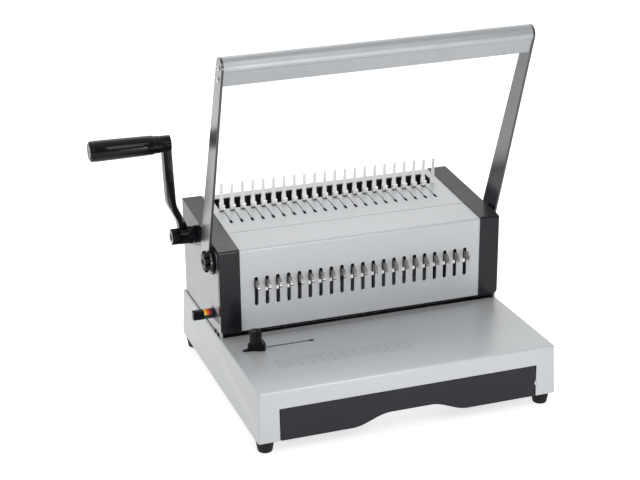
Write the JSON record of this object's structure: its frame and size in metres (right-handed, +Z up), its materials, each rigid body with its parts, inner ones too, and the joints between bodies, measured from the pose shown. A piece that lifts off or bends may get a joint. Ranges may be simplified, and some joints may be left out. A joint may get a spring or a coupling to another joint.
{
  "type": "comb binding machine",
  "caption": "Manual comb binding machine: sheet metal base with chip drawer, punch housing with selectors, bail punch handle, tines and a side crank for the comb opener.",
  "frame": {"origin": "bottom centre of the bounding box, on the surface the feet stand on", "axes": "+X to the operator's right along the row of punches, +Y to the rear, +Z up"},
  "size_m": [0.517, 0.3478, 0.4633],
  "materials": {
    "silver_paint": "satin",
    "plated_steel": "satin",
    "tool_steel": "ground",
    "nickel_steel": "bright",
    "spring_steel": "satin",
    "screw_steel": "satin",
    "satin_aluminium": "satin",
    "trough_paint": "satin",
    "dark_paint": "semi-gloss",
    "charcoal_trim": "semi-gloss",
    "drawer_plastic": "fine texture",
    "tray_plastic": "matt",
    "black_plastic": "satin",
    "knob_plastic": "satin",
    "grip_plastic": "satin",
    "guide_plastic": "satin",
    "bush_plastic": "matt",
    "selector_plastic": "satin",
    "collar_plastic": "satin",
    "foot_rubber": "matt"
  },
  "bodies": {
    "frame": {"base_casing": "silver_paint", "base_plate": "plated_steel", "rubber_feet": "foot_rubber", "drawer_runners": "plated_steel", "side_plate_left": "silver_paint", "side_plate_right": "silver_paint", "cheek_left": "charcoal_trim", "cheek_right": "charcoal_trim", "front_cover": "silver_paint", "top_plate": "silver_paint", "rear_cover": "silver_paint", "comb_trough": "trough_paint", "tine_comb": "nickel_steel", "punch_guide": "dark_paint", "die_plate": "tool_steel", "shaft_bushes": "bush_plastic", "return_springs": "spring_steel"},
    "handle": {"handle_bar": "satin_aluminium", "handle_arm_left": "dark_paint", "handle_arm_right": "dark_paint", "handle_screws": "screw_steel", "punch_shaft": "tool_steel", "handle_discs": "black_plastic"},
    "clamp_knob": {"clamp_knob": "black_plastic"},
    "punch_bar": {"punch_bar": "plated_steel", "punches": "tool_steel"},
    "crank": {"crank_arm": "dark_paint", "crank_shaft": "tool_steel", "crank_hub_knob": "knob_plastic"},
    "crank_grip": {"crank_grip": "grip_plastic"},
    "carriage": {"hook_carriage": "plated_steel", "comb_hooks": "nickel_steel"},
    "edge_guide": {"edge_guide_block": "guide_plastic"},
    "edge_guide_knob": {"edge_guide_knob": "guide_plastic"},
    "margin_knob": {"margin_knob": "black_plastic", "margin_collar": "collar_plastic"},
    "depth_stop": {"depth_stop": "plated_steel"},
    "drawer": {"chip_drawer": "tray_plastic", "drawer_front": "drawer_plastic"},
    "selector_01": {"selector_01": "selector_plastic"},
    "selector_02": {"selector_02": "selector_plastic"},
    "selector_03": {"selector_03": "selector_plastic"},
    "selector_04": {"selector_04": "selector_plastic"},
    "selector_05": {"selector_05": "selector_plastic"},
    "selector_06": {"selector_06": "selector_plastic"},
    "selector_07": {"selector_07": "selector_plastic"},
    "selector_08": {"selector_08": "selector_plastic"},
    "selector_09": {"selector_09": "selector_plastic"},
    "selector_10": {"selector_10": "selector_plastic"},
    "selector_11": {"selector_11": "selector_plastic"},
    "selector_12": {"selector_12": "selector_plastic"},
    "selector_13": {"selector_13": "selector_plastic"},
    "selector_14": {"selector_14": "selector_plastic"},
    "selector_15": {"selector_15": "selector_plastic"},
    "selector_16": {"selector_16": "selector_plastic"},
    "selector_17": {"selector_17": "selector_plastic"},
    "selector_18": {"selector_18": "selector_plastic"},
    "selector_19": {"selector_19": "selector_plastic"},
    "selector_20": {"selector_20": "selector_plastic"},
    "selector_21": {"selector_21": "selector_plastic"}
  },
  "joints": [
    {"name": "handle_swing", "type": "hinge", "parent": "frame", "child": "handle", "pos_m": [0.0595, 0.017, 0.179], "axis": [1, 0, 0], "range_deg": [0, 70], "stiffness_Nm_per_rad": 2, "springref_deg": -34.38},
    {"name": "punch_bar_slide", "type": "slide", "parent": "frame", "child": "punch_bar", "axis": [0, 0, -1], "range_m": [0, 0.0141], "deforming": ["return_springs"]},
    {"name": "clamp_knob_turn", "type": "hinge", "parent": "handle", "child": "clamp_knob", "pos_m": [-0.1405, 0.017, 0.179], "axis": [1, 0, 0], "continuous": true},
    {"name": "crank_turn", "type": "hinge", "parent": "frame", "child": "crank", "pos_m": [0.0595, 0.102, 0.185], "axis": [1, 0, 0], "range_deg": [0, 120]},
    {"name": "carriage_slide", "type": "slide", "parent": "frame", "child": "carriage", "axis": [0, -0.9955, -0.0952], "range_m": [0, 0.0311]},
    {"name": "grip_spin", "type": "hinge", "parent": "crank", "child": "crank_grip", "pos_m": [-0.2125, 0.12104, 0.3052], "axis": [1, 0, 0], "continuous": true},
    {"name": "edge_guide_slide", "type": "slide", "parent": "frame", "child": "edge_guide", "axis": [1, 0, 0], "range_m": [0, 0.058]},
    {"name": "edge_guide_knob_turn", "type": "hinge", "parent": "edge_guide", "child": "edge_guide_knob", "pos_m": [-0.0994, -0.0539, 0.1], "axis": [0, 0, 1], "continuous": true},
    {"name": "margin_turn", "type": "hinge", "parent": "frame", "child": "margin_knob", "pos_m": [-0.1405, 0.025, 0.105], "axis": [1, 0, 0], "range_deg": [0, 90]},
    {"name": "depth_stop_slide", "type": "slide", "parent": "frame", "child": "depth_stop", "axis": [0, 1, 0], "range_m": [0, 0.003]},
    {"name": "drawer_slide", "type": "slide", "parent": "frame", "child": "drawer", "axis": [0, -1, 0], "range_m": [0, 0.15]},
    {"name": "selector_01_slide", "type": "slide", "parent": "punch_bar", "child": "selector_01", "axis": [0, -1, 0], "range_m": [0, 0.008]},
    {"name": "selector_02_slide", "type": "slide", "parent": "punch_bar", "child": "selector_02", "axis": [0, -1, 0], "range_m": [0, 0.008]},
    {"name": "selector_03_slide", "type": "slide", "parent": "punch_bar", "child": "selector_03", "axis": [0, -1, 0], "range_m": [0, 0.008]},
    {"name": "selector_04_slide", "type": "slide", "parent": "punch_bar", "child": "selector_04", "axis": [0, -1, 0], "range_m": [0, 0.008]},
    {"name": "selector_05_slide", "type": "slide", "parent": "punch_bar", "child": "selector_05", "axis": [0, -1, 0], "range_m": [0, 0.008]},
    {"name": "selector_06_slide", "type": "slide", "parent": "punch_bar", "child": "selector_06", "axis": [0, -1, 0], "range_m": [0, 0.008]},
    {"name": "selector_07_slide", "type": "slide", "parent": "punch_bar", "child": "selector_07", "axis": [0, -1, 0], "range_m": [0, 0.008]},
    {"name": "selector_08_slide", "type": "slide", "parent": "punch_bar", "child": "selector_08", "axis": [0, -1, 0], "range_m": [0, 0.008]},
    {"name": "selector_09_slide", "type": "slide", "parent": "punch_bar", "child": "selector_09", "axis": [0, -1, 0], "range_m": [0, 0.008]},
    {"name": "selector_10_slide", "type": "slide", "parent": "punch_bar", "child": "selector_10", "axis": [0, -1, 0], "range_m": [0, 0.008]},
    {"name": "selector_11_slide", "type": "slide", "parent": "punch_bar", "child": "selector_11", "axis": [0, -1, 0], "range_m": [0, 0.008]},
    {"name": "selector_12_slide", "type": "slide", "parent": "punch_bar", "child": "selector_12", "axis": [0, -1, 0], "range_m": [0, 0.008]},
    {"name": "selector_13_slide", "type": "slide", "parent": "punch_bar", "child": "selector_13", "axis": [0, -1, 0], "range_m": [0, 0.008]},
    {"name": "selector_14_slide", "type": "slide", "parent": "punch_bar", "child": "selector_14", "axis": [0, -1, 0], "range_m": [0, 0.008]},
    {"name": "selector_15_slide", "type": "slide", "parent": "punch_bar", "child": "selector_15", "axis": [0, -1, 0], "range_m": [0, 0.008]},
    {"name": "selector_16_slide", "type": "slide", "parent": "punch_bar", "child": "selector_16", "axis": [0, -1, 0], "range_m": [0, 0.008]},
    {"name": "selector_17_slide", "type": "slide", "parent": "punch_bar", "child": "selector_17", "axis": [0, -1, 0], "range_m": [0, 0.008]},
    {"name": "selector_18_slide", "type": "slide", "parent": "punch_bar", "child": "selector_18", "axis": [0, -1, 0], "range_m": [0, 0.008]},
    {"name": "selector_19_slide", "type": "slide", "parent": "punch_bar", "child": "selector_19", "axis": [0, -1, 0], "range_m": [0, 0.008]},
    {"name": "selector_20_slide", "type": "slide", "parent": "punch_bar", "child": "selector_20", "axis": [0, -1, 0], "range_m": [0, 0.008]},
    {"name": "selector_21_slide", "type": "slide", "parent": "punch_bar", "child": "selector_21", "axis": [0, -1, 0], "range_m": [0, 0.008]}
  ],
  "couplings": [
    {"joint": "punch_bar_slide", "follows": "handle_swing", "m_per_rad": 0.011459},
    {"joint": "carriage_slide", "follows": "crank_turn", "m_per_rad": 0.014801}
  ]
}
